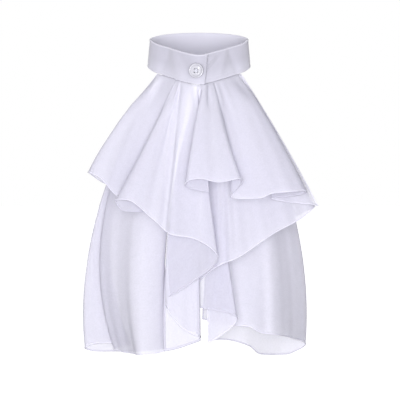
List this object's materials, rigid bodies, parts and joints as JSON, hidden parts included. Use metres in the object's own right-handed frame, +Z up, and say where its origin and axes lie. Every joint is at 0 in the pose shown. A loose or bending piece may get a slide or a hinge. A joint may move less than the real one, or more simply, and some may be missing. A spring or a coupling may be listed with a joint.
{
  "type": "jabot",
  "caption": "Detachable jabot: a buttoned stand band with layered flounces of sheer cloth that fall from its front in cascades.",
  "frame": {"origin": "middle of the neck opening, at half the band's height", "axes": "+Z up towards the chin, -Y forward in the direction that the wearer faces, +X to the wearer's left"},
  "size_m": [0.2687, 0.168, 0.3746],
  "materials": {
    "band_cloth": "matt opaque woven cloth, white with a lavender cast",
    "sheer_cloth": "sheer crepe chiffon, white with a lavender cast",
    "button_white": "polished resin",
    "thread_white": "sewing thread"
  },
  "bodies": {
    "root": {"neck_band": "band_cloth", "left_flounce": "sheer_cloth", "right_flounce": "sheer_cloth", "right_cascade": "sheer_cloth", "lower_left_flounce": "sheer_cloth", "lower_right_flounce": "sheer_cloth", "button": "button_white", "button_thread": "thread_white"}
  },
  "joints": []
}
